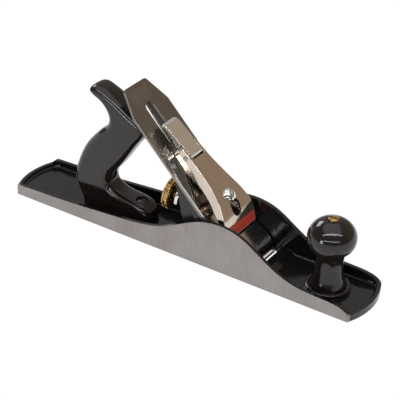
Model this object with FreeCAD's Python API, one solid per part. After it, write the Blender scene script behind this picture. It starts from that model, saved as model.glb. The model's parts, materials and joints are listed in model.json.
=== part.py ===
import FreeCAD, Part
import math
import os

# An iron bench plane of jack size, in millimetres.
# +X points to the toe, +Y to the user's left, +Z up. The origin is the centre
# of the sole, so z = 0 is the surface that the plane rests on.

os.makedirs("parts", exist_ok=True)

V = FreeCAD.Vector

# ---- driving dimensions -------------------------------------------------

# body casting
sole_length = 362.0
sole_width = 61.0
sole_thickness = 4.0
end_radius = 66.0          # plan radius of the toe and the heel
cheek_thickness = 3.6
end_rim_width = 3.4
toe_rim_height = 6.6
heel_rim_height = 7.6
mouth_half_width = 26.9
mouth_front_x = 75.8       # front lip of the mouth
seat_rear_height = 14.0    # the two machined pads under the frog
seat_front_height = 7.0

# cutter and bed
bed_angle = 45.0
edge_x = 72.0              # where the face of the cutter would meet the sole
edge_lift = 0.3            # distance up the bed from there to the edge at rest
cutter_width = 50.8
cutter_thickness = 2.1
cutter_top = 190.8
cutter_slot_width = 11.2
cutter_slot_top = 171.5
cutter_hole_at = 58.0
cap_iron_thickness = 1.8
cap_iron_top = 131.5

# places along the bed, measured up the slope from the sole
lever_cap_screw_at = 66.0
yoke_finger_at = 79.0
lateral_disc_at = 93.0
lateral_pivot_at = 100.0
frog_top_at = 106.0
cap_iron_screw_at = 116.0
lateral_set_angle = 6.0    # how far the lateral lever stands over at rest

# frog
frog_plate_thickness = 7.0
frog_screw_x = 36.0
frog_screw_y = 13.0
frog_foot_top = 19.5
washer_thickness = 1.3
adjusting_screw_z = 9.2
adjusting_plate_x = (-5.2, -3.6)
plate_screw_z = 20.4
lateral_top_out = -4.4     # upper face of the lateral lever, off the cutter's face
lateral_thickness = 1.5

# depth adjuster
stud_tilt = 7.0
stud_radius = 3.55
groove_centre = V(-11.1, 0.0, 40.7)
yoke_pin_centre = V(-2.0, 0.0, 52.0)
wheel_radius = 15.9
wheel_teeth = 56
stud_reach = 20.0          # how far the stud runs into the frog from the groove
groove_half_width = 3.2

# lever cap
lever_cap_low = 32.5
lever_cap_high = 124.1
lever_cap_base = 2.4       # lower edge of its sides
cap_screw_head = 6.0       # radius of the dome that holds it down
keyhole_drop = 12.8        # how far below the screw the wide end of the keyhole is
cam_pin_at = 113.0
cam_pin_height = 9.6
cam_lever_end = 148.5
cam_lever_half = 9.5
cam_hub_half = 8.3

# handles
knob_x = 138.3
knob_ball_radius = 21.0
knob_ball_rise = 18.0      # half its height: the ball is a little flattened
knob_ball_z = 54.0
knob_top = knob_ball_z + knob_ball_rise
nut_sink = 3.2             # depth of the nut's seat below the top of the knob
tote_nut_sink = 4.0
nut_head = 4.8
nut_sleeve = 3.9
nut_room = 0.4             # radial clearance round the head and the sleeve of a brass nut
rod_radius = 2.75
tote_half_thickness = 11.8
tote_rod_foot = V(-101.5, 0.0, 2.0)
tote_rod_top = V(-61.8, 0.0, 107.4)
toe_screw_x = -53.4

# fits
slide_gap = 0.03           # faces that slide on each other
running = 0.06             # radial clearance of a pin that turns
thread_gap = 0.05          # radial clearance that stands for a thread

# ---- helpers ------------------------------------------------------------

angle = math.radians(bed_angle)
up_bed = V(-math.cos(angle), 0.0, math.sin(angle))
off_bed = V(math.sin(angle), 0.0, math.cos(angle))
bed_frame = FreeCAD.Placement(
    V(edge_x, 0.0, 0.0),
    FreeCAD.Rotation(up_bed, V(0.0, -1.0, 0.0), off_bed, "XZY"),
)


def bed_point(along, out, across=0.0):
    """A point given up the bed, off the cutter's face, and across."""
    return V(edge_x, across, 0.0) + up_bed * along + off_bed * out


def on_bed(shape):
    """Place a shape drawn flat (x up the bed, z off the cutter's face)."""
    return shape.transformed(bed_frame.toMatrix(), True)


def save(name, shape):
    if shape.ShapeType == "Compound" and len(shape.Solids) == 1:
        shape = shape.Solids[0]
    print(name, "valid", shape.isValid(), "solids", len(shape.Solids), "volume", round(shape.Volume, 1))
    shape.exportStep("parts/" + name + ".step")


def polygon(points):
    return Part.Face(Part.makePolygon(points + [points[0]]))


def plate(outline, low, high):
    """Extrude an (x, y) outline from z = low to z = high."""
    face = polygon([V(x, y, low) for x, y in outline])
    return face.extrude(V(0.0, 0.0, high - low))


def side_prism(outline, low, high):
    """Extrude an (x, z) outline from y = low to y = high."""
    face = polygon([V(x, low, z) for x, z in outline])
    return face.extrude(V(0.0, high - low, 0.0))


def box(low, high):
    size = high - low
    return Part.makeBox(size.x, size.y, size.z, low)


def cylinder(radius, start, end):
    return Part.makeCylinder(radius, (end - start).Length, start, end - start)


def smooth_edge(points):
    curve = Part.BSplineCurve()
    curve.interpolate(Points=points)
    return curve.toShape()


def fuse(first, *others):
    return first.fuse(list(others)).removeSplitter()


def fillet(shape, radius, chosen):
    """Round the edges for which chosen(edge) is true."""
    return shape.makeFillet(radius, [edge for edge in shape.Edges if chosen(edge)])


def spin(profile, base, axis):
    """Revolve a list of (radius, along) corners about an axis."""
    side = V(0.0, 1.0, 0.0)
    points = [base + side * radius + axis * along for radius, along in profile]
    return polygon(points).revolve(base, axis, 360)


def rounded_slot(along_low, along_high, half_width, low, high):
    """A slot along x with round ends, as a solid from z = low to z = high."""
    ends = [Part.makeCylinder(half_width, high - low, V(x, 0.0, low))
            for x in (along_low + half_width, along_high - half_width)]
    middle = box(V(along_low + half_width, -half_width, low), V(along_high - half_width, half_width, high))
    return fuse(middle, *ends)


def slotted_screw(head_radius, head_height, shank_radius, shank_length, slot_width=1.2, dome=0.0):
    """A slotted screw along +Z: the shank ends at z = 0, the head sits above it."""
    seat = shank_length
    top = seat + head_height
    head = Part.makeCylinder(head_radius, head_height, V(0.0, 0.0, seat))
    if dome > 0.0:
        reach = (head_radius ** 2 + dome ** 2) / (2.0 * dome)
        ball = Part.makeSphere(reach, V(0.0, 0.0, top + dome - reach))
        cap = Part.makeCylinder(head_radius, head_height + dome, V(0.0, 0.0, seat))
        head = cap.common(ball)
    else:
        head = fillet(head, 0.5, lambda edge: abs(edge.CenterOfMass.z - top) < 1e-6)
    shank = Part.makeCylinder(shank_radius, shank_length)
    depth = min(1.6, 0.55 * (head_height + dome))
    slot = box(V(-head_radius - 1.0, -slot_width / 2.0, top + dome - depth),
               V(head_radius + 1.0, slot_width / 2.0, top + dome + 1.0))
    return fuse(head, shank).cut(slot)


def stand_at(shape, foot, direction):
    """Turn a shape drawn along +Z to point along direction, with its origin at foot."""
    turn = FreeCAD.Rotation(V(0.0, 0.0, 1.0), direction)
    return shape.transformed(FreeCAD.Placement(foot, turn).toMatrix(), True)


# ---- lines that several pieces share ------------------------------------

bed_out = -cutter_thickness                        # the frog's bed face
plate_back_out = bed_out - frog_plate_thickness

tilt = math.radians(stud_tilt)
stud_back = V(-math.cos(tilt), 0.0, math.sin(tilt))   # along the stud, towards the user

rod_line = tote_rod_top - tote_rod_foot
rod_line.normalize()

def plan_wire(length, width, radius, z):
    """The outline of the sole: straight sides, with arcs at toe and heel."""
    rise = radius - math.sqrt(radius ** 2 - (width / 2.0) ** 2)
    x = length / 2.0 - rise
    y = width / 2.0
    right_heel, right_toe = V(-x, -y, z), V(x, -y, z)
    left_toe, left_heel = V(x, y, z), V(-x, y, z)
    toe = Part.Arc(right_toe, V(length / 2.0, 0.0, z), left_toe).toShape()
    heel = Part.Arc(left_heel, V(-length / 2.0, 0.0, z), right_heel).toShape()
    sides = [Part.makeLine(right_heel, right_toe), Part.makeLine(left_toe, left_heel)]
    return Part.Wire([sides[0], toe, sides[1], heel])


# ---- body casting -------------------------------------------------------

def cheek_profile():
    """Side view of the casting: low rims at both ends, a hump beside the frog."""
    corner = sole_length / 2.0 - 7.4
    end = sole_length / 2.0 + 1.0
    low = [(-end, -1.0), (end, -1.0), (end, toe_rim_height), (corner - 0.5, toe_rim_height)]
    hump = [(corner - 0.5, toe_rim_height), (166.0, 10.8), (160.0, 12.1), (146.0, 13.0), (128.0, 14.0),
            (108.0, 19.4), (88.0, 30.4), (68.0, 42.0), (48.0, 46.0), (30.0, 43.8), (8.0, 33.9),
            (-13.0, 23.9), (-34.0, 18.8), (-66.0, 15.7), (-110.0, 12.3), (-150.0, 10.6), (-corner, 9.8)]
    closing = [(-corner, 9.8), (-corner, heel_rim_height), (-end, heel_rim_height), (-end, -1.0)]

    def at(point):
        return V(point[0], -sole_width, point[1])

    edges = [Part.makeLine(at(a), at(b)) for a, b in zip(low, low[1:])]
    edges.append(smooth_edge([at(point) for point in hump]))
    edges += [Part.makeLine(at(a), at(b)) for a, b in zip(closing, closing[1:])]
    return Part.Face(Part.Wire(edges)).extrude(V(0.0, 2.0 * sole_width, 0.0))


def body_tray():
    """Sole, cheeks and end rims, with the inside hollowed and rounded."""
    block = Part.Face(plan_wire(sole_length, sole_width, end_radius, 0.0)).extrude(V(0.0, 0.0, 60.0))
    block = fillet(block, 2.0, lambda edge: edge.BoundBox.ZLength > 10.0)
    block = block.common(cheek_profile())
    inner_length = sole_length - 2.0 * end_rim_width
    inner_width = sole_width - 2.0 * cheek_thickness
    inside = Part.Face(plan_wire(inner_length, inner_width, end_radius - end_rim_width, sole_thickness))
    hollow = inside.extrude(V(0.0, 0.0, 60.0))
    hollow = fillet(hollow, 6.0, lambda edge: edge.BoundBox.ZLength > 10.0)
    hollow = fillet(hollow, 2.2, lambda edge: edge.BoundBox.ZMax < sole_thickness + 0.01)
    return block.cut(hollow)


def frog_seat():
    """The raised pads that carry the frog, with the ramp behind the mouth."""
    ramp_out = bed_out - 0.4
    root = bed_point(sole_thickness / math.sin(angle) * 0.9 - ramp_out, ramp_out)
    lip = bed_point(seat_front_height / math.sin(angle) - ramp_out, ramp_out)
    front_pad = side_prism([(42.0, 3.0), (root.x, 3.0), (lip.x, seat_front_height),
                            (42.0, seat_front_height)], -24.5, 24.5)
    rear_pad = side_prism([(5.0, 3.0), (49.0, 3.0), (49.0, seat_front_height), (45.0, seat_rear_height),
                           (5.0, seat_rear_height)], -21.0, 21.0)
    apron = side_prism([(-13.0, 3.0), (5.5, 3.0), (5.5, 12.5)], -21.0, 21.0)
    channel = box(V(-14.0, -8.0, sole_thickness), V(5.0, 8.0, 20.0))
    return fuse(rear_pad, front_pad, apron.cut(channel))


def mouth_surround():
    """Thicker metal ahead of the mouth and a low rib across the floor."""
    lip = side_prism([(mouth_front_x, 3.0), (92.0, 3.0), (92.0, sole_thickness), (86.0, 7.2),
                      (mouth_front_x + 1.2, 7.2)], -26.9, 26.9)
    return lip


def knob_seat():
    outer, inner, top = 19.7, 16.9, 8.2
    ring = Part.makeCylinder(outer, top - 3.0, V(knob_x, 0.0, 3.0))
    ring = fillet(ring, 1.4, lambda edge: abs(edge.BoundBox.ZMin - top) < 1e-3 and edge.BoundBox.ZLength < 1e-3)
    well = Part.makeCylinder(inner, 10.0, V(knob_x, 0.0, sole_thickness + 0.6))
    boss = Part.makeCylinder(6.0, 8.0, V(knob_x, 0.0, 3.0))
    return ring.cut(well).fuse(boss)


def make_body():
    tray = body_tray()
    tote_boss = cylinder(6.0, tote_rod_foot + rod_line * 0.6, tote_rod_foot + rod_line * 9.0)
    toe_pad = Part.makeCylinder(6.5, 4.0, V(toe_screw_x, 0.0, 3.0))
    body = fuse(tray, frog_seat(), mouth_surround(), knob_seat(), tote_boss, toe_pad)

    ramp_out = bed_out - 0.4
    behind_low = bed_point(-8.0, ramp_out)
    behind_high = bed_point(40.0, ramp_out)
    mouth = side_prism([(behind_low.x, behind_low.z), (behind_high.x, behind_high.z), (mouth_front_x, behind_high.z),
                        (mouth_front_x, 1.5), (mouth_front_x - 0.4, behind_low.z)],
                       -mouth_half_width, mouth_half_width)
    front_relief = side_prism([(mouth_front_x - 0.1, 2.5), (mouth_front_x - 0.1, 9.0), (mouth_front_x + 3.5, 9.0)],
                              -mouth_half_width + 1.5, mouth_half_width - 1.5)
    holes = [mouth, front_relief]
    for y in (-frog_screw_y, frog_screw_y):
        holes.append(Part.makeCylinder(rod_radius + thread_gap, 14.0, V(frog_screw_x, y, 3.2)))
    holes.append(cylinder(rod_radius + thread_gap, V(0.0, 0.0, adjusting_screw_z), V(26.0, 0.0, adjusting_screw_z)))
    holes.append(Part.makeCylinder(rod_radius + thread_gap, 20.0, V(knob_x, 0.0, 1.5)))
    holes.append(cylinder(rod_radius + thread_gap, tote_rod_foot, tote_rod_foot + rod_line * 20.0))
    holes.append(Part.makeCylinder(2.3 + thread_gap, 10.0, V(toe_screw_x, 0.0, 1.5)))
    return body.cut(holes)


# ---- frog and what is fixed to it ---------------------------------------

def frog_plate():
    """The sloping plate that the cutter lies on, drawn flat."""
    half, top_half = 25.0, 19.0
    outline = [(4.0, -half), (66.0, -half), (98.0, -top_half - 1.5), (frog_top_at, -top_half + 5.0),
               (frog_top_at, top_half - 5.0), (98.0, top_half + 1.5), (66.0, half), (4.0, half)]
    slab = plate(outline, plate_back_out, bed_out)
    relief = box(V(14.0, -16.0, bed_out - 0.7), V(60.0, 16.0, bed_out + 1.0))
    return slab.cut(relief)


def make_frog():
    seat = seat_rear_height + slide_gap
    front = seat_front_height + slide_gap
    reach = edge_x + bed_out * math.sqrt(2.0)          # x + z on the bed face
    back = edge_x + plate_back_out * math.sqrt(2.0)    # x + z on the back of the plate
    web = [(8.0, seat), (back - seat + 4.0, seat), (back - 62.0 + 4.0, 62.0), (back - 62.0, 62.0)]
    pieces = [on_bed(frog_plate())]
    pieces.append(side_prism([(50.0, front), (reach - front, front), (reach - 30.0, 30.0), (38.0, 30.0),
                              (38.0, seat), (50.0, seat)], -22.0, 22.0))
    pieces.append(box(V(4.0, -21.0, seat), V(50.0, 21.0, frog_foot_top)))
    pieces.append(box(V(adjusting_plate_x[1], -7.5, seat), V(10.0, 7.5, 31.0)))
    pieces.append(side_prism(web, -21.0, -16.5))
    pieces.append(side_prism(web, 16.5, 21.0))
    pieces.append(side_prism([(2.0, seat), (40.0, seat), (back - 36.0 + 3.0, 36.0), (-1.0, 36.0)], -4.0, 4.0))
    pieces.append(cylinder(6.0, groove_centre - stud_back * 9.5, groove_centre - stud_back * 31.0))
    ear = [(back - 44.0 + 3.0, 44.0), (back - 62.0 + 3.0, 62.0), (-5.5, 58.0), (-6.5, 55.0), (-6.5, 50.5),
           (-3.0, 46.0), (4.0, 41.0)]
    pieces.append(side_prism(ear, 3.2, 8.2))
    pieces.append(side_prism(ear, -8.2, -3.2))
    pieces.append(cylinder(8.0, bed_point(lever_cap_screw_at, bed_out - 1.0),
                           bed_point(lever_cap_screw_at, bed_out - 15.5)))
    frog = fuse(*pieces)

    below = box(V(-30.0, -40.0, -10.0), V(90.0, 40.0, front))
    above_bed = on_bed(box(V(-20.0, -40.0, bed_out), V(130.0, 40.0, 60.0)))
    cuts = [below, above_bed]
    cuts.append(on_bed(Part.makeCylinder(stud_radius + thread_gap, 40.0, V(lever_cap_screw_at, 0.0, -30.0))))
    cuts.append(on_bed(box(V(yoke_finger_at - 6.5, -6.0, -14.0), V(yoke_finger_at + 8.0, 6.0, 5.0))))
    cuts.append(on_bed(rounded_slot(lateral_disc_at - 9.0, frog_top_at + 30.0, 9.0,
                                    lateral_top_out - lateral_thickness - 0.3, 5.0)))
    cuts.append(on_bed(box(V(frog_top_at - 4.0, -14.0, -20.0), V(frog_top_at + 5.0, 14.0, 5.0))))
    cuts.append(cylinder(stud_radius + thread_gap, groove_centre, groove_centre - stud_back * (stud_reach + 1.0)))
    cuts.append(cylinder(2.0 + running, yoke_pin_centre - V(0.0, 10.0, 0.0), yoke_pin_centre + V(0.0, 10.0, 0.0)))
    cuts.append(on_bed(Part.makeCylinder(2.0 + thread_gap, 12.0, V(lateral_pivot_at, 0.0, -13.0))))
    cuts.append(cylinder(1.6 + thread_gap, V(-8.0, 0.0, plate_screw_z), V(4.0, 0.0, plate_screw_z)))
    for y in (-frog_screw_y, frog_screw_y):
        slot = rounded_slot(frog_screw_x - 5.6, frog_screw_x + 3.6, 3.4, 10.0, 24.0)
        pocket = rounded_slot(frog_screw_x - 9.2, frog_screw_x + 7.2, 7.0, frog_foot_top, 50.0)
        cuts.append(slot.translated(V(0.0, y, 0.0)))
        cuts.append(pocket.translated(V(0.0, y, 0.0)))
    return frog.cut(cuts)


def make_frog_screws():
    screw = slotted_screw(4.8, 4.2, rod_radius, 16.6, dome=0.6)
    foot = frog_foot_top + washer_thickness + slide_gap - 16.6
    return Part.makeCompound([screw.translated(V(frog_screw_x, y, foot)) for y in (-frog_screw_y, frog_screw_y)])


def make_frog_washers():
    ring = Part.makeCylinder(6.3, washer_thickness).cut(Part.makeCylinder(rod_radius + 0.15, washer_thickness))
    foot = frog_foot_top + slide_gap
    return Part.makeCompound([ring.translated(V(frog_screw_x, y, foot)) for y in (-frog_screw_y, frog_screw_y)])


def make_adjusting_plate():
    """The forked clip on the back of the frog that sits in the screw's groove."""
    low, high = adjusting_plate_x
    blank = box(V(low, -6.5, 5.6), V(high, 6.5, 26.0))
    blank = fillet(blank, 3.0, lambda edge: edge.BoundBox.XLength > 1.0 and edge.CenterOfMass.z > 25.0)
    neck = rod_radius + 0.35
    fork = box(V(low - 1.0, -neck, 0.0), V(high + 1.0, neck, adjusting_screw_z))
    eye = cylinder(neck, V(low - 1.0, 0.0, adjusting_screw_z), V(high + 1.0, 0.0, adjusting_screw_z))
    hole = cylinder(1.9, V(low - 1.0, 0.0, plate_screw_z), V(high + 1.0, 0.0, plate_screw_z))
    return blank.cut([fork, eye, hole])


def make_adjusting_plate_screw():
    screw = slotted_screw(3.4, 2.2, 1.6, 8.6, slot_width=0.9)
    foot = V(adjusting_plate_x[0] + 8.6, 0.0, plate_screw_z)
    return stand_at(screw, foot, V(-1.0, 0.0, 0.0))


def make_frog_adjusting_screw():
    """Threaded into the body; the plate on the frog sits in its groove."""
    low, high = adjusting_plate_x
    gap = 0.3
    thread_end = 18.0
    collar = 4.4
    head_back = low - 4.8
    profile = [(0.0, thread_end), (rod_radius, thread_end), (rod_radius, high + 2.4), (collar, high + 2.4),
               (collar, high + gap), (rod_radius, high + gap), (rod_radius, low - gap), (collar, low - gap),
               (collar, head_back + 0.5), (collar - 0.5, head_back), (0.0, head_back)]
    screw = spin(profile, V(0.0, 0.0, adjusting_screw_z), V(1.0, 0.0, 0.0))
    slot = box(V(head_back - 1.0, -6.0, adjusting_screw_z - 0.6), V(head_back + 1.6, 6.0, adjusting_screw_z + 0.6))
    return screw.cut(slot)


def make_lever_cap_screw():
    """A long screw that stands out of the frog; its dome holds the lever cap."""
    foot_out = bed_out - 12.0
    head_out = lever_cap_face(lever_cap_screw_at) + 0.25
    screw = slotted_screw(cap_screw_head, 1.2, stud_radius, head_out - foot_out, slot_width=1.4, dome=2.6)
    return on_bed(screw.translated(V(lever_cap_screw_at, 0.0, foot_out)))


# ---- depth adjuster -----------------------------------------------------

def make_adjusting_stud():
    start = groove_centre - stud_back * stud_reach
    end = groove_centre + stud_back * 14.5
    stud = cylinder(stud_radius, start, end)
    return stud.makeChamfer(0.7, [edge for edge in stud.Edges if (edge.CenterOfMass - end).Length < 0.1])


def make_adjusting_nut():
    """Grooved hub and knurled wheel, running on the stud."""
    bore = stud_radius + running
    half_groove = groove_half_width
    rim = wheel_radius
    profile = [(bore, -4.9), (7.0, -4.9), (7.5, -4.4), (7.5, -half_groove), (4.75, -half_groove),
               (4.75, half_groove), (7.6, half_groove), (9.0, 4.6), (rim - 0.9, 5.2), (rim, 6.0), (rim, 7.7),
               (rim - 1.0, 8.2), (rim - 1.0, 9.0), (rim, 9.5), (rim, 11.0), (rim - 0.9, 11.8), (12.6, 11.8),
               (11.4, 10.2), (7.6, 10.2), (6.6, 12.2), (bore, 12.2)]
    nut = spin(profile, groove_centre, stud_back)
    notch_depth = 0.55
    side = V(0.0, 1.0, 0.0)
    over = stud_back.cross(side)
    cuts = []
    for index in range(wheel_teeth):
        turn = 2.0 * math.pi * index / wheel_teeth
        radial = side * math.cos(turn) + over * math.sin(turn)
        around = over * math.cos(turn) - side * math.sin(turn)
        foot = groove_centre + stud_back * 4.6
        corners = [foot + radial * (rim - notch_depth), foot + radial * (rim + 0.5) + around * 0.75,
                   foot + radial * (rim + 0.5) - around * 0.75]
        cuts.append(polygon(corners).extrude(stud_back * 8.0))
    return nut.cut(Part.makeCompound(cuts))


def make_adjusting_yoke():
    """Bell crank: a finger through the frog, and a fork in the nut's groove."""
    tip_low = bed_point(yoke_finger_at - 2.25, 2.6)
    tip_high = bed_point(yoke_finger_at + 2.25, 2.6)
    base_low = bed_point(yoke_finger_at - 2.25, -9.0)
    base_high = bed_point(yoke_finger_at + 2.25, -9.0)
    arm = [(tip_low.x, tip_low.z), (tip_high.x, tip_high.z), (base_high.x, base_high.z), (1.5, 56.2),
           (-5.0, 56.0), (-10.5, 53.5), (-12.3, 50.3), (-10.8, 49.2), (-6.0, 48.9), (2.0, 48.4),
           (base_low.x, base_low.z)]
    web = side_prism(arm, -2.7, 2.7)
    finger = on_bed(box(V(yoke_finger_at - 2.25, -4.0, -5.5), V(yoke_finger_at + 2.25, 4.0, 2.6)))
    finger = fillet(finger, 0.8, lambda edge: edge.BoundBox.YLength > 7.0 and edge.CenterOfMass.sub(
        bed_point(yoke_finger_at, 2.6)).Length < 3.0)

    half, reach, inner, lift, thick = 9.4, 4.6, 5.2, 1.1, 1.5
    bridge = Part.makeCylinder(half, 2.0 * thick, V(0.0, 0.0, -thick))
    legs = box(V(-reach, -half, -thick), V(0.0, half, thick))
    mouth = Part.makeCylinder(inner, 2.0 * thick, V(lift, 0.0, -thick))
    gap = box(V(-12.0, -inner, -thick), V(lift, inner, thick))
    below = box(V(-12.0, -12.0, -2.0), V(-reach, 12.0, 2.0))
    fork = fuse(bridge, legs).cut([mouth, gap, below])
    # the fork lies across the stud: its x runs up, its z along the stud
    upward = V(stud_back.z, 0.0, -stud_back.x)
    turn = FreeCAD.Rotation(upward, V(0.0, -1.0, 0.0), stud_back, "ZXY")
    fork = fork.transformed(FreeCAD.Placement(groove_centre, turn).toMatrix(), True)
    yoke = fuse(web, finger, fork)
    hole = cylinder(2.0 + running, yoke_pin_centre - V(0.0, 9.0, 0.0), yoke_pin_centre + V(0.0, 9.0, 0.0))
    return yoke.cut(hole)


def make_yoke_pin():
    return cylinder(2.0, yoke_pin_centre - V(0.0, 8.2, 0.0), yoke_pin_centre + V(0.0, 8.2, 0.0))


# ---- lateral adjuster ---------------------------------------------------

def make_lateral_lever():
    """Flat lever, cranked past the cap iron screw, with a thumb tab."""
    top, thick = lateral_top_out, lateral_thickness
    start, end = -12.0, 75.0                        # measured from the pivot
    run = [(start, top), (26.0, top), (33.0, top + 1.5), (end, top - 2.2)]
    outline = run + [(x, z - thick) for x, z in reversed(run)]
    strip = side_prism(outline, -9.0, 9.0)
    right = [(start, -3.6), (-9.5, -4.9), (-5.0, -5.6), (8.0, -5.6), (38.0, -4.6), (70.0, -2.7), (end, -2.7)]
    plan = right + [(x, -y) for x, y in reversed(right)]
    strip = strip.common(plate(plan, -20.0, 5.0))
    tab_top = top - 2.2
    tab = box(V(end - thick, -8.5, tab_top - 7.5), V(end, 8.5, tab_top))
    tab = fillet(tab, 3.4, lambda edge: edge.BoundBox.XLength > 1.0)
    stud = Part.makeCylinder(3.4, 1.6, V(lateral_disc_at - lateral_pivot_at, 0.0, top - 0.3))
    pin = Part.makeCylinder(2.2, 3.9, V(lateral_disc_at - lateral_pivot_at, 0.0, top - 0.3))
    lever = fuse(strip, tab, stud, pin)
    lever = lever.cut(Part.makeCylinder(2.0 + 2.0 * running, 20.0, V(0.0, 0.0, -15.0)))
    lever.rotate(V(0.0, 0.0, 0.0), V(0.0, 0.0, 1.0), -lateral_set_angle)
    return on_bed(lever.translated(V(lateral_pivot_at, 0.0, 0.0)))


def make_lateral_rivet():
    out = lateral_top_out
    shank = Part.makeCylinder(2.0, out + 12.3, V(lateral_pivot_at, 0.0, -12.0))
    head = Part.makeCylinder(3.6, 1.25, V(lateral_pivot_at, 0.0, out + 0.1))
    head = fillet(head, 0.6, lambda edge: abs(edge.CenterOfMass.z - (out + 1.35)) < 0.01)
    return on_bed(fuse(shank, head))


def disc_place():
    arm = lateral_pivot_at - lateral_disc_at
    swing = math.radians(lateral_set_angle)
    return V(lateral_pivot_at - arm * math.cos(swing), arm * math.sin(swing), 0.0)


def make_lateral_disc():
    low = lateral_top_out + 1.5
    disc = Part.makeCylinder(4.6, 2.2, V(0.0, 0.0, low)).cut(Part.makeCylinder(2.42, 4.0, V(0.0, 0.0, low - 1.0)))
    disc = fillet(disc, 0.3, lambda edge: abs(edge.BoundBox.XLength - 9.2) < 0.01)
    return on_bed(disc.translated(disc_place()))


# ---- cutter and cap iron ------------------------------------------------

def make_cutter():
    half = cutter_width / 2.0
    shoulder = 165.5
    top_half = 15.5
    outline = [(edge_lift, -half), (shoulder, -half), (cutter_top, -top_half), (cutter_top, top_half),
               (shoulder, half), (edge_lift, half)]
    blade = plate(outline, bed_out, 0.0)
    blade = fillet(blade, 4.0, lambda edge: edge.BoundBox.ZLength > 1.0 and edge.CenterOfMass.x > shoulder + 5.0)
    blade = fillet(blade, 2.0, lambda edge: edge.BoundBox.ZLength > 1.0
                   and abs(edge.CenterOfMass.x - shoulder) < 0.5)
    bevel = cutter_thickness / math.tan(math.radians(25.0))
    wedge = side_prism([(edge_lift - 1.0, bed_out - 1.0), (edge_lift + bevel, bed_out - 1.0),
                        (edge_lift + bevel, bed_out), (edge_lift, 0.0), (edge_lift - 1.0, 0.0)], -40.0, 40.0)
    slot = rounded_slot(cutter_hole_at, cutter_slot_top, cutter_slot_width / 2.0, -5.0, 5.0)
    hole = Part.makeCylinder(10.0, 10.0, V(cutter_hole_at, 0.0, -5.0))
    return on_bed(blade.cut([wedge, slot, hole]))


def cap_iron_curve(offset):
    """Side line of the cap iron, at a distance inside its outer face."""
    return [V(1.9 + 0.35 * offset, 0.0, 0.02), V(4.3 + 0.75 * offset, 0.0, 2.9 - 0.75 * offset),
            V(8.8 + 0.4 * offset, 0.0, 5.4 - offset), V(14.0, 0.0, 6.0 - offset),
            V(22.0 - 0.1 * offset, 0.0, 5.2 - offset), V(32.0 - 0.15 * offset, 0.0, 3.2 - offset),
            V(40.0, 0.0, 2.05 - offset), V(46.0, 0.0, cap_iron_thickness - offset)]


def make_cap_iron():
    half = cutter_width / 2.0 - 0.1
    outer = cap_iron_curve(0.0)
    inner = cap_iron_curve(cap_iron_thickness)
    outer[0] = V(1.7, 0.0, slide_gap)
    inner[0] = V(2.6, 0.0, slide_gap)
    inner[-1] = V(46.0, 0.0, slide_gap)
    inner[-2] = V(41.0, 0.0, slide_gap + 0.12)
    edges = [smooth_edge(outer), Part.makeLine(outer[-1], V(60.0, 0.0, cap_iron_thickness)),
             Part.makeLine(V(60.0, 0.0, cap_iron_thickness), V(60.0, 0.0, slide_gap)),
             Part.makeLine(V(60.0, 0.0, slide_gap), inner[-1]), smooth_edge(inner),
             Part.makeLine(inner[0], outer[0])]
    hump = Part.Face(Part.Wire(edges)).extrude(V(0.0, 2.0 * half, 0.0)).translated(V(0.0, -half, 0.0))
    side = [(58.0, half), (104.0, half), (cap_iron_top - 4.0, 19.5), (cap_iron_top, 14.0)]
    outline = [(x, -y) for x, y in side] + list(reversed(side))
    flat = plate(outline, slide_gap, cap_iron_thickness)
    flat = fillet(flat, 3.0, lambda edge: edge.BoundBox.ZLength > 1.0 and edge.CenterOfMass.x > 100.0)
    iron = fuse(hump, flat)
    screw_hole = Part.makeCylinder(6.0, 10.0, V(lever_cap_screw_at, 0.0, -2.0))
    finger_slot = box(V(yoke_finger_at - 2.7, -6.5, -2.0), V(yoke_finger_at + 2.7, 6.5, 5.0))
    threaded = Part.makeCylinder(3.9 + thread_gap, 10.0, V(cap_iron_screw_at, 0.0, -2.0))
    return on_bed(iron.cut([screw_hole, finger_slot, threaded]))


def make_cap_iron_screw():
    """Broad flat head under the cutter, threaded into the cap iron."""
    head_height = 1.9
    length = cutter_thickness + cap_iron_thickness
    screw = slotted_screw(8.0, head_height, 3.9, length - 0.1, slot_width=1.8)
    screw.rotate(V(0.0, 0.0, 0.0), V(1.0, 0.0, 0.0), 180)
    return on_bed(screw.translated(V(cap_iron_screw_at, 0.0, bed_out + length - 0.1)))


# ---- lever cap ----------------------------------------------------------


def lever_cap_line():
    """Side line of the lever cap's face: (up the bed, off the cutter)."""
    return [(lever_cap_low, 6.4), (38.0, 9.3), (45.0, 12.6), (54.0, 15.8), (64.0, 17.5), (76.0, 17.3),
            (90.0, 16.0), (106.0, 14.2), (lever_cap_high, 12.6)]


def lever_cap_face(along):
    """Height of the lever cap's face off the cutter, between the points of its side line."""
    for (low, low_out), (high, high_out) in zip(lever_cap_line(), lever_cap_line()[1:]):
        if along <= high:
            return low_out + (high_out - low_out) * (along - low) / (high - low)


def lever_cap_outline(inset, high):
    """Half outline as far as high: wide and square at the bottom, and waisted above."""
    points = [(39.0, 23.6), (46.0, 24.6), (56.0, 22.6), (66.0, 20.0), (78.0, 17.0), (90.0, 14.8),
              (102.0, 13.2), (112.0, 12.6), (119.0, 12.3)]
    return [(x, y - inset) for x, y in points if x < high - 4.0]


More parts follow.
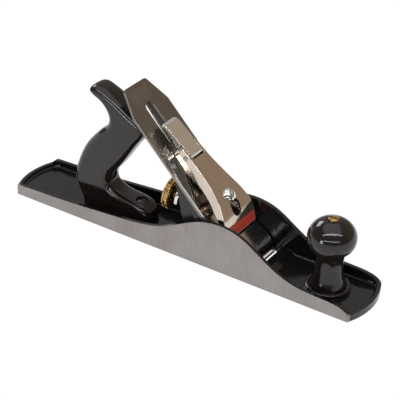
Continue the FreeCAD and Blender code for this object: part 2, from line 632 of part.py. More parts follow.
def outline_wire(inset, height, end_inset):
    """Closed outline of the lever cap at a height above the cutter."""
    low = lever_cap_low + end_inset
    high = lever_cap_high - end_inset
    right = [V(x, -y, height) for x, y in lever_cap_outline(inset, high)]
    left = [V(x, y, height) for x, y in reversed(lever_cap_outline(inset, high))]
    corner = 4.5
    start_right = V(low, right[0].y + corner, height)
    start_left = V(low, left[-1].y - corner, height)
    edges = [smooth_edge([start_right] + right)]
    top_right = V(high, right[-1].y + 4.0, height)
    top_left = V(high, left[0].y - 4.0, height)
    edges.append(Part.Arc(right[-1], V(high - 1.6, right[-1].y + 1.3, height), top_right).toShape())
    edges.append(Part.makeLine(top_right, top_left))
    edges.append(Part.Arc(top_left, V(high - 1.6, left[0].y - 1.3, height), left[0]).toShape())
    edges.append(smooth_edge(left + [start_left]))
    edges.append(Part.makeLine(start_left, start_right))
    return Part.Wire(edges)


def lever_cap_shell(inset, base, top, end_inset):
    """A drafted block between two outlines."""
    draft = 2.6
    lower = outline_wire(inset, base, end_inset)
    upper = outline_wire(inset + draft, top, end_inset + 0.2 * draft)
    return Part.makeLoft([lower, upper], True, True)


def under_face(drop):
    """Everything below the face line, lowered by drop."""
    half, floor_z = 40.0, -30.0
    curve = [V(x, -half, z - drop) for x, z in lever_cap_line()]
    first = curve[0] - V(6.0, 0.0, 1.5)
    last = curve[-1] + V(16.0, 0.0, 0.0)
    below_first, below_last = V(first.x, -half, floor_z), V(last.x, -half, floor_z)
    edges = [Part.makeLine(below_first, first), Part.makeLine(first, curve[0]), smooth_edge(curve),
             Part.makeLine(curve[-1], last), Part.makeLine(last, below_last), Part.makeLine(below_last, below_first)]
    return Part.Face(Part.Wire(edges)).extrude(V(0.0, 2.0 * half, 0.0))


def side_arch():
    """What is taken off the lower edge of the lever cap's sides, so that they stand clear of the cap iron."""
    half, floor_z = 40.0, -10.0
    start = lever_cap_low + 2.2
    curve = [V(x, -half, z) for x, z in [(start, 3.5), (38.0, 5.0), (44.0, 7.4), (52.0, 9.0), (62.0, 9.7),
                                         (74.0, 9.6), (86.0, 7.6), (96.0, 4.6), (102.0, lever_cap_base)]]
    first, last = V(start, -half, floor_z), V(102.0, -half, floor_z)
    edges = [Part.makeLine(first, curve[0]), smooth_edge(curve), Part.makeLine(curve[-1], last),
             Part.makeLine(last, first)]
    return Part.Face(Part.Wire(edges)).extrude(V(0.0, 2.0 * half, 0.0))


def make_lever_cap():
    wall, web = 3.0, 3.2
    base = lever_cap_base
    outer = lever_cap_shell(0.0, base, 21.0, 0.0).common(under_face(0.0))
    inner = lever_cap_shell(wall, base - 1.0, 19.6, 5.0).common(under_face(web))
    cap = outer.cut(inner)
    # the front lip bears on the hump of the cap iron
    lip_cut = side_prism([(20.0, 0.0), (lever_cap_low + 2.3, 0.0), (lever_cap_low + 2.3, 3.5),
                          (lever_cap_low - 0.5, 4.1), (20.0, 4.1)], -40.0, 40.0)
    boss = Part.makeCylinder(8.0, 12.0, V(lever_cap_screw_at - 2.0, 0.0, 9.8))
    keeper = box(V(80.0, -5.0, 9.5), V(90.0, 5.0, 15.5))
    cap = fuse(cap, boss.common(under_face(0.5)), keeper)
    # keyhole: the dome passes its wide end, the neck is held by the narrow end
    wide, narrow = cap_screw_head + 0.4, stud_radius + 0.4
    key_wide = rounded_slot(lever_cap_screw_at - keyhole_drop - wide, lever_cap_screw_at - 3.6, wide, 0.0, 40.0)
    key_narrow = rounded_slot(lever_cap_screw_at - 12.0, lever_cap_screw_at + narrow, narrow, 0.0, 40.0)
    cam_gap = box(V(cam_pin_at - 4.7, -cam_hub_half - 0.3, 0.0), V(140.0, cam_hub_half + 0.3, 30.0))
    ear_end = box(V(cam_pin_at, -40.0, -20.0), V(140.0, 40.0, 40.0)).cut(
        cylinder(11.0, V(cam_pin_at, -40.0, cam_pin_height), V(cam_pin_at, 40.0, cam_pin_height)))
    pin = cylinder(2.0 + thread_gap, V(cam_pin_at, -30.0, cam_pin_height), V(cam_pin_at, 30.0, cam_pin_height))
    rivet = Part.makeCylinder(1.5 + thread_gap, 7.0, V(85.0, 0.0, 5.0))
    cap = cap.cut([lip_cut, side_arch(), key_wide, key_narrow, enamel_recess(), cam_gap, ear_end, pin, rivet])
    return on_bed(cap)


def enamel_recess():
    """Shallow band along the lower edge of the face, filled with red enamel."""
    low, high, half, depth = lever_cap_low + 2.2, lever_cap_low + 10.6, 21.0, 0.5
    blank = box(V(low, -half, 0.0), V(high, half, 30.0))
    blank = fillet(blank, 2.0, lambda edge: edge.BoundBox.ZLength > 20.0)
    return blank.cut(under_face(depth))


def make_cam_pin():
    reach = 12.0
    return on_bed(cylinder(2.0, V(cam_pin_at, -reach, cam_pin_height), V(cam_pin_at, reach, cam_pin_height)))


def make_cam_lever():
    """Cam between the cap's ears, and a flat finger lever above them."""
    x, z = cam_pin_at, cam_pin_height
    hub = cylinder(4.2, V(x, -cam_hub_half, z), V(x, cam_hub_half, z))
    tongue = side_prism([(x, z - 4.1), (x + 1.4, z - 6.4), (x + 4.6, z - 6.4), (x + 12.2, z - 2.7),
                         (x + 12.2, z + 2.9), (x + 4.0, z + 3.5), (x, z + 4.1)], -cam_hub_half, cam_hub_half)
    start, end, half = lever_cap_high + 0.5, cam_lever_end, cam_lever_half
    top = [V(start, -half, 12.5), V(start + 8.0, -half, 11.8), V(end - 8.5, -half, 10.9), V(end - 4.0, -half, 10.0),
           V(end - 1.3, -half, 8.6), V(end, -half, 7.0)]
    under = [V(end - 0.3, -half, 6.0), V(end - 8.5, -half, 7.6), V(start, -half, 6.9)]
    edges = [smooth_edge(top), Part.makeLine(top[-1], under[0]), smooth_edge(under), Part.makeLine(under[-1], top[0])]
    blade = Part.Face(Part.Wire(edges)).extrude(V(0.0, 2.0 * half, 0.0))
    plan = plate([(start, -half), (end, -half), (end, half), (start, half)], 0.0, 40.0)
    plan = fillet(plan, 3.0, lambda edge: edge.BoundBox.ZLength > 1.0 and edge.CenterOfMass.x > end - 1.0)
    lever = fuse(hub, tongue, blade.common(plan))
    hole = cylinder(2.0 + running, V(x, -30.0, z), V(x, 30.0, z))
    return on_bed(lever.cut(hole))


def make_lever_cap_spring():
    """Leaf under the lever cap that the cam presses on to the cap iron."""
    low = cap_iron_thickness + 0.3
    thick = 0.8
    run = [(79.0, 8.6), (91.0, 8.6), (101.0, low), (119.0, low)]
    outline = run + [(x, z + thick) for x, z in reversed(run)]
    leaf = side_prism(outline, -6.0, 6.0)
    return on_bed(leaf.cut(Part.makeCylinder(1.7, 12.0, V(85.0, 0.0, 4.0))))


def make_spring_rivet():
    shank = Part.makeCylinder(1.5, 4.2, V(85.0, 0.0, 7.6))
    head = Part.makeCylinder(2.9, 1.0, V(85.0, 0.0, 7.6))
    return on_bed(fuse(shank, head))


# ---- tote ---------------------------------------------------------------

def tote_outline():
    """Side view from the toe of the foot round the horn: (x, z, how much the edge is rounded)."""
    return [(-44.0, 4.0, 0.25), (-40.0, 10.5, 0.5), (-43.6, 17.0, 0.5), (-51.5, 20.8, 0.35), (-65.0, 22.6, 0.35),
            (-77.0, 25.4, 0.5), (-84.2, 31.4, 0.7), (-83.6, 39.0, 0.9), (-77.0, 49.0, 1.0), (-66.0, 64.5, 1.0),
            (-55.0, 80.5, 0.9), (-47.8, 92.5, 0.7), (-48.0, 99.8, 0.6), (-54.0, 104.6, 0.6), (-66.0, 111.2, 0.6),
            (-80.5, 119.6, 0.6), (-92.5, 124.8, 0.6), (-101.2, 125.4, 0.6), (-105.4, 121.4, 0.6),
            (-102.3, 116.6, 0.6), (-94.8, 112.4, 0.7), (-88.2, 106.2, 0.8), (-85.2, 98.0, 1.0), (-86.8, 91.0, 1.0),
            (-92.4, 85.4, 1.0), (-100.4, 77.2, 1.0), (-109.4, 65.8, 1.0), (-115.9, 53.3, 1.0), (-121.0, 39.0, 1.0),
            (-122.2, 27.0, 0.8), (-118.8, 18.4, 0.6), (-114.0, 12.0, 0.4), (-111.5, 4.0, 0.25)]


def tote_section(y, share):
    """The side view at a distance y from the middle, drawn in by its share of the rounding."""
    floor = sole_thickness + slide_gap
    rounding = 7.5
    outline = tote_outline()
    corners = [V(x, y, z) for x, z, weight in outline]
    curve = Part.BSplineCurve()
    curve.interpolate(Points=corners)
    points = []
    for corner, (x, z, weight) in zip(corners, outline):
        along = curve.tangent(curve.parameter(corner))[0]
        inward = V(-along.z, 0.0, along.x)
        points.append(corner + inward * (rounding * weight * share))
    points[0].z = floor
    points[-1].z = floor
    return Part.Wire([smooth_edge(points), Part.makeLine(points[-1], points[0])])


def make_tote():
    floor = sole_thickness + slide_gap
    depth = 8.0                                     # how far the rounding reaches across
    turns = [math.radians(value) for value in (0.0, 30.0, 55.0, 75.0, 90.0)]
    places = [(tote_half_thickness - depth + depth * math.sin(turn), 1.0 - math.cos(turn)) for turn in turns]
    left = [tote_section(y, share) for y, share in places]
    right = [tote_section(-y, share) for y, share in reversed(places)]
    grip = Part.makeLoft(right + left, True, False)
    bore = cylinder(rod_radius + 0.4, tote_rod_foot, tote_rod_top + rod_line * 30.0)
    counterbore = cylinder(nut_head + nut_room, tote_rod_top - rod_line * tote_nut_sink, tote_rod_top + rod_line * 30.0)
    sleeve = cylinder(nut_sleeve + nut_room, tote_rod_top - rod_line * (tote_nut_sink + 6.6), tote_rod_top)
    boss = cylinder(6.4, tote_rod_foot - rod_line * 5.0, tote_rod_foot + rod_line * 9.6)
    screw_hole = Part.makeCylinder(2.7, 40.0, V(toe_screw_x, 0.0, 0.0))
    screw_well = Part.makeCylinder(5.6, 30.0, V(toe_screw_x, 0.0, 17.6))
    pad = Part.makeCylinder(6.9, 3.4, V(toe_screw_x, 0.0, floor - 0.2))
    return grip.cut([bore, counterbore, sleeve, boss, screw_hole, screw_well, pad])


def make_tote_rod():
    return cylinder(rod_radius, tote_rod_foot + rod_line * 0.6, tote_rod_top - rod_line * (tote_nut_sink - 0.2))


def handle_nut():
    """Brass nut with a slotted dome, drawn with its seat at z = 0."""
    sleeve = Part.makeCylinder(nut_sleeve, 6.0, V(0.0, 0.0, -6.0))
    head = Part.makeCylinder(nut_head, 6.0)
    dome = Part.makeSphere(13.0, V(0.0, 0.0, -8.4))
    head = head.common(dome)
    slot = box(V(-8.0, -0.8, 2.8), V(8.0, 0.8, 8.0))
    bore = Part.makeCylinder(rod_radius + thread_gap, 6.5, V(0.0, 0.0, -6.0))
    return fuse(sleeve, head).cut([slot, bore])


def make_tote_nut():
    return stand_at(handle_nut(), tote_rod_top - rod_line * (tote_nut_sink - slide_gap), rod_line)


def make_tote_toe_screw():
    screw = slotted_screw(5.0, 2.2, 2.3, 15.4, slot_width=1.3, dome=1.4)
    return screw.translated(V(toe_screw_x, 0.0, 17.6 + slide_gap - 15.4))


# ---- knob ---------------------------------------------------------------

def make_knob():
    foot = sole_thickness + 0.6 + slide_gap
    base_radius = 15.3
    flare = [(15.8, foot + 0.8), (16.0, foot + 3.0), (15.3, foot + 6.4), (13.6, foot + 11.8), (12.5, foot + 17.0),
             (11.9, foot + 22.0), (11.7, foot + 26.5), (12.0, foot + 30.5)]
    turns = [math.radians(value) for value in (-48.0, -30.0, -9.0, 12.0, 30.0, 48.0, 61.0, 71.0)]
    ball = [(knob_ball_radius * math.cos(turn), knob_ball_z + knob_ball_rise * math.sin(turn)) for turn in turns]
    side = [V(r, 0.0, z) for r, z in flare + ball]
    base, top = V(0.0, 0.0, foot), V(0.0, 0.0, knob_top)
    rim = V(base_radius, 0.0, foot)
    edges = [Part.makeLine(base, rim), Part.makeLine(rim, side[0]), smooth_edge(side),
             Part.makeLine(side[-1], top), Part.makeLine(top, base)]
    knob = Part.Face(Part.Wire(edges)).revolve(V(0.0, 0.0, 0.0), V(0.0, 0.0, 1.0), 360)
    bore = Part.makeCylinder(rod_radius + 0.4, 100.0)
    counterbore = Part.makeCylinder(nut_head + nut_room, 20.0, V(0.0, 0.0, knob_top - nut_sink))
    sleeve = Part.makeCylinder(nut_sleeve + nut_room, 20.0, V(0.0, 0.0, knob_top - nut_sink - 6.6))
    boss = Part.makeCylinder(6.5, 12.0, V(0.0, 0.0, 0.0))
    return knob.cut([bore, counterbore, sleeve, boss]).translated(V(knob_x, 0.0, 0.0))


def make_knob_rod():
    return Part.makeCylinder(rod_radius, knob_top - nut_sink - 1.8, V(knob_x, 0.0, 2.0))


def make_knob_nut():
    return handle_nut().translated(V(knob_x, 0.0, knob_top - nut_sink + slide_gap))


# ---- write every piece --------------------------------------------------

save("body", make_body())
save("frog", make_frog())
save("frog_screws", make_frog_screws())
save("frog_washers", make_frog_washers())
save("frog_adjusting_plate", make_adjusting_plate())
save("frog_plate_screw", make_adjusting_plate_screw())
save("frog_adjusting_screw", make_frog_adjusting_screw())
save("lever_cap_screw", make_lever_cap_screw())
save("adjusting_stud", make_adjusting_stud())
save("adjusting_nut", make_adjusting_nut())
save("adjusting_yoke", make_adjusting_yoke())
save("yoke_pin", make_yoke_pin())
save("lateral_lever", make_lateral_lever())
save("lateral_rivet", make_lateral_rivet())
save("lateral_disc", make_lateral_disc())
save("cutter", make_cutter())
save("cap_iron", make_cap_iron())
save("cap_iron_screw", make_cap_iron_screw())
save("lever_cap", make_lever_cap())
save("cam_pin", make_cam_pin())
save("cam_lever", make_cam_lever())
save("lever_cap_spring", make_lever_cap_spring())
save("spring_rivet", make_spring_rivet())
save("tote", make_tote())
save("tote_rod", make_tote_rod())
save("tote_nut", make_tote_nut())
save("tote_toe_screw", make_tote_toe_screw())
save("knob", make_knob())
save("knob_rod", make_knob_rod())
save("knob_nut", make_knob_nut())
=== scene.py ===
"""The looks of the hand plane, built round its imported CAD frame.

Everything is in metres in the row frame: +X to the toe, +Y to the user's left, +Z up, and
the sole rests on z = 0. The bed slopes up towards the heel, from the mouth.
"""

import json
import math

import bpy
from mathutils import Matrix, Vector


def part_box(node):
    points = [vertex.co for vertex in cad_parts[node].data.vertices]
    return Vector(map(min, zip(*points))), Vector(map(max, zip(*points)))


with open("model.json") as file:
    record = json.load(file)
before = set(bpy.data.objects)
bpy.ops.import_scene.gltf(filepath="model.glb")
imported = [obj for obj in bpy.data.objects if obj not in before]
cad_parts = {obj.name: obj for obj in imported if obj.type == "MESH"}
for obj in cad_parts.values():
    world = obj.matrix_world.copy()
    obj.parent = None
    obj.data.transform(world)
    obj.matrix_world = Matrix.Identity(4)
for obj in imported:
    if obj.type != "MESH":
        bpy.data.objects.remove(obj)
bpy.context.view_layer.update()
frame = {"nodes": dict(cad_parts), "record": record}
nodes = frame["nodes"]

MM = 0.001

# ---- sizes ------------------------------------------------------------------

body_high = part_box("body")[1]
half_width = body_high.y
END_CURVE = 7.6 * MM                        # how far the rounded ends stand past the straight cheeks
end_flat = body_high.x - END_CURVE

BED_ORIGIN = Vector((72.0 * MM, 0.0, 0.0))  # where the cutter's face would meet the sole
UP_BED = Vector((-math.sqrt(0.5), 0.0, math.sqrt(0.5)))
OFF_BED = Vector((math.sqrt(0.5), 0.0, math.sqrt(0.5)))
bed_start = BED_ORIGIN.dot(UP_BED)
bed_level = BED_ORIGIN.dot(OFF_BED)

EDGE_SAMPLES = 6
CASTING_EDGE = 0.5 * MM                     # radii that the shading gives to sharp edges
METAL_EDGE = 0.3 * MM
LEVER_CAP_EDGE = 0.7 * MM
CAM_LEVER_EDGE = 0.6 * MM

BED_DEPTH = 2.1 * MM                        # the frog's bed lies this far under the cutter's face
BED_WEAR = 0.25 * MM                        # and the enamel is worn off it over this depth
BED_BARE = 0.05 * MM
GRINDING_DEPTH = 0.32 * MM                  # the ground skin of the cheeks fades out over these depths
GRINDING_FULL = 0.18 * MM
GRINDING_WAVER = 0.35 * MM
CORNER_LENGTH = 2.5 * MM                    # at the cheeks' rounded ends the grinding turns the corner,
CORNER_DEPTH = 2.2 * MM                     # as far in as this
CORNER_FROM = 2.6 * MM
CORNER_FULL = 2.4 * MM
GRINDING_END = 1.6 * MM                     # and stops this far past the straight cheek
GRINDING_END_FADE = 0.4 * MM
SOLE_FULL = 0.25 * MM
SOLE_FADE = 0.5 * MM

FROST_LOW = 173.5 * MM                      # the frosted patch near the cutter's top
FROST_HIGH = 187.0 * MM
FROST_HALF_WIDTH = 11.5 * MM
FROST_FADE = 1.0 * MM

BAND_LOW = 34.6 * MM                        # the red band in the lever cap's recess
BAND_HIGH = 43.2 * MM
BAND_HALF_WIDTH = 21.2 * MM
BAND_FADE = 0.2 * MM
BAND_LEVEL = 6.0 * MM                       # the cap's underside lies below this, and stays plain
BAND_LEVEL_FADE = 0.4 * MM

SHARP_ANGLE = math.radians(32.0)


# ---- node tree helpers ----------------------------------------------------

class Shader:
    """A small wrapper for building a material's node tree."""

    def __init__(self, name):
        self.material = bpy.data.materials.new(name)
        self.material.use_nodes = True
        self.tree = self.material.node_tree
        self.bsdf = self.tree.nodes["Principled BSDF"]
        self.place = self.add("ShaderNodeTexCoord").outputs["Object"]

    def add(self, kind, **settings):
        node = self.tree.nodes.new(kind)
        for key, value in settings.items():
            setattr(node, key, value)
        return node

    def link(self, source, socket):
        if hasattr(source, "is_output"):
            self.tree.links.new(source, socket)
        else:
            socket.default_value = source

    def math(self, operation, *values):
        node = self.add("ShaderNodeMath", operation=operation)
        for value, socket in zip(values, node.inputs):
            self.link(value, socket)
        return node.outputs[0]

    def split(self, vector):
        node = self.add("ShaderNodeSeparateXYZ")
        self.link(vector, node.inputs[0])
        return node.outputs

    def dot(self, vector, direction):
        node = self.add("ShaderNodeVectorMath", operation="DOT_PRODUCT")
        self.link(vector, node.inputs[0])
        self.link(direction, node.inputs[1])
        return node.outputs["Value"]

    def stretched(self, scale):
        node = self.add("ShaderNodeMapping")
        self.link(self.place, node.inputs["Vector"])
        self.link(scale, node.inputs["Scale"])
        return node.outputs[0]

    def noise(self, scale, detail=3.0, roughness=0.5, stretch=None, vector=None):
        node = self.add("ShaderNodeTexNoise")
        source = vector or (self.stretched(stretch) if stretch else self.place)
        self.link(source, node.inputs["Vector"])
        self.link(scale, node.inputs["Scale"])
        self.link(detail, node.inputs["Detail"])
        self.link(roughness, node.inputs["Roughness"])
        return node.outputs["Fac"]

    def spread(self, value, low, high, to_low=0.0, to_high=1.0):
        """Map value from low..high to to_low..to_high, held at both ends."""
        node = self.add("ShaderNodeMapRange", clamp=True)
        for source, socket in zip((value, low, high, to_low, to_high), node.inputs):
            self.link(source, socket)
        return node.outputs[0]

    def between(self, value, low, high, fade):
        """1 where value lies from low to high, fading inside both ends, and 0 elsewhere."""
        return self.math("MULTIPLY", self.spread(value, low, low + fade),
                         self.spread(value, high - fade, high, 1.0, 0.0))

    def mix(self, share, first, second):
        node = self.add("ShaderNodeMix", data_type="RGBA")
        self.link(share, node.inputs["Factor"])
        self.link(colour(first), node.inputs["A"])
        self.link(colour(second), node.inputs["B"])
        return node.outputs["Result"]

    def blend(self, share, first, second):
        node = self.add("ShaderNodeMix", data_type="FLOAT")
        self.link(share, node.inputs["Factor"])
        self.link(first, node.inputs["A"])
        self.link(second, node.inputs["B"])
        return node.outputs["Result"]

    def round_edges(self, radius):
        """Shade the edges as if they were rounded, so that they catch a line of light."""
        node = self.add("ShaderNodeBevel", samples=EDGE_SAMPLES)
        self.link(radius, node.inputs["Radius"])
        self.link(node.outputs[0], self.bsdf.inputs["Normal"])
        return node.outputs[0]

    def bump(self, height, strength, distance, edge=0.0):
        """Relief from height, over shaded edges of the radius edge."""
        node = self.add("ShaderNodeBump")
        if edge > 0.0:
            self.link(self.round_edges(edge), node.inputs["Normal"])
        self.link(height, node.inputs["Height"])
        self.link(strength, node.inputs["Strength"])
        self.link(distance, node.inputs["Distance"])
        self.link(node.outputs[0], self.bsdf.inputs["Normal"])

    def set(self, **values):
        for key, value in values.items():
            self.link(colour(value), self.bsdf.inputs[key.replace("_", " ")])

    def current(self, name):
        """What is linked to the shader's socket now."""
        return self.bsdf.inputs[name].links[0].from_socket


def colour(value):
    """A colour of three numbers gets its alpha; anything else is left as it is."""
    return (*value, 1.0) if isinstance(value, tuple) and len(value) == 3 else value


# ---- materials ------------------------------------------------------------

def casting_material():
    """Ground iron on the outer faces of the cheeks and on the sole, black enamel elsewhere."""
    s = Shader("casting")
    x, y, z = s.split(s.place)
    across = s.math("ABSOLUTE", y)
    along = s.math("ABSOLUTE", x)
    worn = s.math("MULTIPLY", s.noise(90.0, 3.0), GRINDING_WAVER)
    corner = s.spread(along, end_flat - CORNER_LENGTH, end_flat, 0.0, CORNER_DEPTH)
    at_corner = s.spread(across, half_width - CORNER_FROM, half_width - CORNER_FULL)
    reach = s.math("ADD", s.math("ADD", across, worn), s.math("MULTIPLY", corner, at_corner))
    stop = end_flat + GRINDING_END
    on_cheek = s.math("MULTIPLY", s.spread(reach, half_width - GRINDING_DEPTH, half_width - GRINDING_FULL),
                      s.spread(along, stop - GRINDING_END_FADE, stop, 1.0, 0.0))
    on_sole = s.spread(z, SOLE_FULL, SOLE_FADE, 1.0, 0.0)
    ground = s.math("MAXIMUM", on_cheek, on_sole)

    cloud = s.noise(28.0, 4.0, 0.6)
    lines = s.noise(420.0, 3.0, 0.7, stretch=(1.0, 1.0, 0.12))
    grain = s.noise(1500.0, 2.0)
    iron = s.mix(s.spread(cloud, 0.3, 0.7), (0.245, 0.215, 0.205), (0.315, 0.285, 0.27))
    iron = s.mix(s.spread(lines, 0.35, 0.75, 0.0, 0.35), iron, (0.42, 0.395, 0.38))
    enamel = s.mix(s.noise(60.0, 3.0), (0.003, 0.003, 0.0032), (0.008, 0.008, 0.0085))
    s.set(Base_Color=s.mix(ground, enamel, iron), Metallic=s.math("MULTIPLY", ground, 0.85))
    iron_rough = s.spread(lines, 0.2, 0.8, 0.42, 0.6)
    enamel_rough = s.spread(s.noise(120.0, 3.0), 0.3, 0.7, 0.1, 0.2)
    s.set(Roughness=s.blend(ground, enamel_rough, iron_rough))
    peel = s.noise(260.0, 2.0)
    cast_waves = s.math("MULTIPLY", s.noise(75.0, 3.0), 4.0)
    s.bump(s.blend(ground, s.math("ADD", peel, cast_waves), grain), 0.14, 0.0005, CASTING_EDGE)
    return s.material


def frog_material():
    """Black enamel on the frog, worn to iron on its machined bed."""
    s = Shader("frog_enamel")
    height = s.dot(s.place, tuple(OFF_BED))
    bed_face = bed_level - BED_DEPTH
    bare = s.spread(height, bed_face - BED_WEAR, bed_face - BED_BARE)
    iron = s.mix(s.noise(500.0, 3.0, 0.6), (0.25, 0.24, 0.235), (0.45, 0.44, 0.43))
    enamel = s.mix(s.noise(80.0), (0.006, 0.006, 0.0065), (0.014, 0.014, 0.015))
    s.set(Base_Color=s.mix(bare, enamel, iron), Metallic=s.math("MULTIPLY", bare, 0.9))
    s.set(Roughness=s.blend(bare, s.spread(s.noise(150.0), 0.3, 0.7, 0.2, 0.34), 0.4))
    s.bump(s.noise(420.0, 3.0), 0.2, 0.0004, CASTING_EDGE)
    return s.material


def handle_material():
    """Moulded black plastic, a little brown, with a very fine orange peel."""
    s = Shader("handle_black")
    base = (0.014, 0.0095, 0.008)
    dark = tuple(0.6 * value for value in base)
    s.set(Base_Color=s.mix(s.noise(45.0, 3.0), dark, base))
    s.set(Roughness=s.spread(s.noise(90.0, 4.0, 0.6), 0.3, 0.7, 0.07, 0.13))
    s.bump(s.noise(700.0, 2.0), 0.02, 0.0002)
    return s.material


def metal(name, low, high, rough, scale=900.0, bump=0.06, edge=METAL_EDGE):
    """Metal from colour low to colour high, with fine lines up the bed; rough is a range too."""
    s = Shader(name)
    direction = tuple(UP_BED)
    line_length = 0.05
    along = s.dot(s.place, direction)
    scaled = s.add("ShaderNodeVectorMath", operation="SCALE")
    s.link(direction, scaled.inputs[0])
    s.link(s.math("MULTIPLY", along, line_length - 1.0), scaled.inputs["Scale"])
    squeezed = s.add("ShaderNodeVectorMath", operation="ADD")
    s.link(s.place, squeezed.inputs[0])
    s.link(scaled.outputs[0], squeezed.inputs[1])
    lines = s.noise(scale, 4.0, 0.6, vector=squeezed.outputs[0])
    cloud = s.noise(40.0, 3.0, 0.55)
    tone = s.math("ADD", s.math("MULTIPLY", lines, 0.5), s.math("MULTIPLY", cloud, 0.5))
    s.set(Base_Color=s.mix(s.spread(tone, 0.32, 0.68), low, high), Metallic=1.0)
    s.set(Roughness=s.spread(lines, 0.3, 0.7, *rough))
    if bump > 0.0:
        s.bump(lines, bump, 0.0002, edge)
    else:
        s.round_edges(edge)
    return s


def cutter_material():
    """Satin steel, with a frosted patch at the top."""
    s = metal("cutter_satin", (0.22, 0.2, 0.182), (0.275, 0.252, 0.232), (0.26, 0.34), scale=600.0, bump=0.02)
    up = s.dot(s.place, tuple(UP_BED))
    across = s.math("ABSOLUTE", s.split(s.place)[1])
    patch = s.between(up, bed_start + FROST_LOW, bed_start + FROST_HIGH, FROST_FADE)
    patch = s.math("MULTIPLY", patch,
                   s.spread(across, FROST_HALF_WIDTH - FROST_FADE, FROST_HALF_WIDTH, 1.0, 0.0))
    frost = s.math("MULTIPLY", s.spread(s.noise(1400.0, 2.0, 0.8), 0.45, 0.65), patch)
    plain = s.current("Base Color")
    rough = s.current("Roughness")
    s.set(Base_Color=s.mix(s.math("MULTIPLY", frost, 0.3), plain, (0.5, 0.48, 0.45)))
    s.set(Roughness=s.blend(s.math("MULTIPLY", frost, 0.5), rough, 0.5))
    return s.material


def lever_cap_material():
    """Polished nickel with a red enamel band in its shallow recess."""
    s = metal("lever_cap_nickel", (0.58, 0.49, 0.41), (0.66, 0.57, 0.49), (0.08, 0.14), scale=500.0, bump=0.0,
              edge=LEVER_CAP_EDGE)
    up = s.dot(s.place, tuple(UP_BED))
    out = s.dot(s.place, tuple(OFF_BED))
    across = s.math("ABSOLUTE", s.split(s.place)[1])
    band = s.between(up, bed_start + BAND_LOW, bed_start + BAND_HIGH, BAND_FADE)
    band = s.math("MULTIPLY", band, s.spread(across, BAND_HALF_WIDTH - BAND_FADE, BAND_HALF_WIDTH, 1.0, 0.0))
    outside = s.spread(out, bed_level + BAND_LEVEL, bed_level + BAND_LEVEL + BAND_LEVEL_FADE)
    band = s.math("MULTIPLY", band, outside)
    plain = s.current("Base Color")
    rough = s.current("Roughness")
    red = s.mix(s.noise(300.0), (0.40, 0.045, 0.03), (0.48, 0.065, 0.04))
    s.set(Base_Color=s.mix(band, plain, red), Roughness=s.blend(band, rough, 0.3))
    s.set(Metallic=s.math("SUBTRACT", 1.0, band))
    return s.material


PLAIN_METALS = {
    "plain_steel": dict(low=(0.36, 0.355, 0.35), high=(0.52, 0.51, 0.50), rough=(0.28, 0.42)),
    "dark_screw": dict(low=(0.035, 0.034, 0.033), high=(0.09, 0.088, 0.085), rough=(0.3, 0.45)),
    "bright_screw": dict(low=(0.68, 0.68, 0.68), high=(0.8, 0.8, 0.8), rough=(0.06, 0.12)),
    "bright_yoke": dict(low=(0.7, 0.69, 0.64), high=(0.82, 0.81, 0.77), rough=(0.12, 0.2)),
    "lever_steel": dict(low=(0.20, 0.18, 0.165), high=(0.28, 0.26, 0.24), rough=(0.3, 0.38), bump=0.01),
    "cap_iron_steel": dict(low=(0.46, 0.44, 0.42), high=(0.56, 0.54, 0.52), rough=(0.12, 0.18), bump=0.01),
    "cam_lever_nickel": dict(low=(0.80, 0.78, 0.75), high=(0.88, 0.86, 0.84), rough=(0.1, 0.15), bump=0.0,
                             edge=CAM_LEVER_EDGE),
    "spring_steel": dict(low=(0.12, 0.13, 0.17), high=(0.2, 0.21, 0.26), rough=(0.25, 0.35)),
    "brass": dict(low=(0.46, 0.29, 0.11), high=(0.6, 0.40, 0.17), rough=(0.14, 0.26), scale=600.0),
}

materials = {
    "body_iron": casting_material(),
    "frog_iron": frog_material(),
    "handle_plastic": handle_material(),
    "cutter_steel": cutter_material(),
    "lever_cap_nickel": lever_cap_material(),
}
for name, look in PLAIN_METALS.items():
    materials[name] = metal(name, **look).material

slot_of = {part["node"]: part["material_slot"] for part in frame["record"]["subparts"]}
for name, node in nodes.items():
    for slot in node.material_slots:
        slot.material = materials[slot_of[name]]


# ---- smooth shading -------------------------------------------------------

for node in nodes.values():
    node.data.polygons.foreach_set("use_smooth", [True] * len(node.data.polygons))
    node.data.set_sharp_from_angle(angle=SHARP_ANGLE)
    flat_faces = node.modifiers.new("flat_faces", "WEIGHTED_NORMAL")
    flat_faces.keep_sharp = True


# ---- floor, light and camera ------------------------------------------------

def light_table():
    """A floor that shines white by itself, so that the plane stands on plain white."""
    reach = 6.0
    brightness = 1.02
    mesh = bpy.data.meshes.new("floor")
    corners = [(-reach, -reach, 0), (reach, -reach, 0), (reach, reach, 0), (-reach, reach, 0)]
    mesh.from_pydata(corners, [], [(0, 1, 2, 3)])
    floor = bpy.data.objects.new("floor", mesh)
    bpy.context.scene.collection.objects.link(floor)
    s = Shader("floor_light_table")
    s.set(Base_Color=(0.0, 0.0, 0.0), Emission_Color=(1.0, 1.0, 1.0), Emission_Strength=brightness)
    s.set(Roughness=1.0, Specular_IOR_Level=0.0)
    mesh.materials.append(s.material)


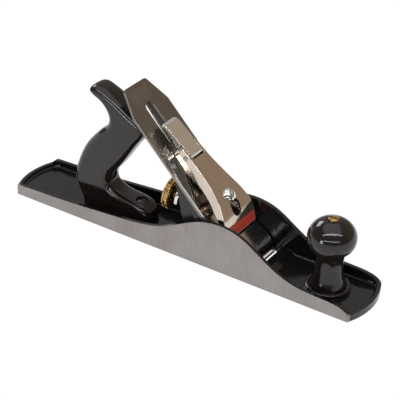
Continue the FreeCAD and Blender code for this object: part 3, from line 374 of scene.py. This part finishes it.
def room():
    """A dim room with a bright ceiling, and two walls, grey and tan, that the metal reflects.

    Each wall is a direction, how closely a ray must face it for its shade to start and to be full,
    and its colour.
    """
    walls = [((0.0, 0.0, 1.0), 0.76, 0.86, (1.15, 1.15, 1.15, 1.0)),
             ((-0.459, 0.724, 0.515), 0.80, 0.92, (0.42, 0.42, 0.41, 1.0)),
             ((0.515, 0.724, 0.459), 0.74, 0.88, (0.37, 0.30, 0.235, 1.0))]
    world = bpy.data.worlds.new("studio")
    bpy.context.scene.world = world
    world.use_nodes = True
    tree = world.node_tree
    background = tree.nodes["Background"]
    place = tree.nodes.new("ShaderNodeTexCoord")
    shade = tree.nodes.new("ShaderNodeRGB").outputs[0]
    shade.default_value = (0.16, 0.162, 0.17, 1.0)
    for direction, low, high, tint in walls:
        facing = tree.nodes.new("ShaderNodeVectorMath")
        facing.operation = "DOT_PRODUCT"
        tree.links.new(place.outputs["Generated"], facing.inputs[0])
        facing.inputs[1].default_value = Vector(direction).normalized()
        spread = tree.nodes.new("ShaderNodeMapRange")
        spread.interpolation_type = "SMOOTHSTEP"
        tree.links.new(facing.outputs["Value"], spread.inputs["Value"])
        spread.inputs["From Min"].default_value = low
        spread.inputs["From Max"].default_value = high
        mix = tree.nodes.new("ShaderNodeMix")
        mix.data_type = "RGBA"
        tree.links.new(spread.outputs["Result"], mix.inputs["Factor"])
        tree.links.new(shade, mix.inputs["A"])
        mix.inputs["B"].default_value = tint
        shade = mix.outputs["Result"]
    tree.links.new(shade, background.inputs["Color"])
    background.inputs["Strength"].default_value = 1.0


def softbox(name, place, target, size, power, tint=(1.0, 1.0, 1.0)):
    """A rectangular lamp at place, facing target."""
    light = bpy.data.lights.new(name, "AREA")
    light.shape = "RECTANGLE"
    light.size, light.size_y = size
    light.energy = power
    light.color = tint
    lamp = bpy.data.objects.new(name, light)
    lamp.location = place
    lamp.rotation_euler = (Vector(target) - Vector(place)).to_track_quat("-Z", "Y").to_euler()
    bpy.context.scene.collection.objects.link(lamp)


def camera():
    """The view of the photograph: from the right, ahead and above, with a long lens."""
    azimuth, elevation, roll = (math.radians(value) for value in (32.4, 31.0, 2.0))
    target = Vector((10.9, -12.9, 54.5)) * MM
    distance = 1.227
    back = Vector((math.sin(azimuth) * math.cos(elevation), -math.cos(azimuth) * math.cos(elevation),
                   math.sin(elevation)))
    level_right = Vector((math.cos(azimuth), math.sin(azimuth), 0.0))
    level_up = back.cross(level_right)
    right = level_right * math.cos(roll) + level_up * math.sin(roll)
    up = back.cross(right)
    data = bpy.data.cameras.new("camera")
    data.lens = 128.3
    data.sensor_width = 36.0
    data.shift_x = 0.0125
    data.shift_y = -0.01
    data.clip_end = 50.0
    view = bpy.data.objects.new("camera", data)
    facing = Matrix((right, up, back)).transposed().to_4x4()
    view.matrix_world = Matrix.Translation(target + back * distance) @ facing
    bpy.context.scene.collection.objects.link(view)
    bpy.context.scene.camera = view


bpy.context.scene.view_settings.view_transform = "Standard"
light_table()
room()
camera()
softbox("key", (0.43, -0.68, 1.39), (0.0, 0.0, 0.03), (2.6, 0.13), 12.0)
softbox("strip", (0.8, -1.24, 0.66), (0.1, 0.0, 0.05), (2.2, 0.06), 4.5)
softbox("window", (-0.35, -1.45, 0.2), (0.1, 0.0, 0.05), (0.3, 0.5), 5.0, (0.78, 0.86, 1.0))
softbox("heel", (-1.3, 0.5, 1.0), (0.0, 0.0, 0.03), (0.7, 0.5), 7.0)
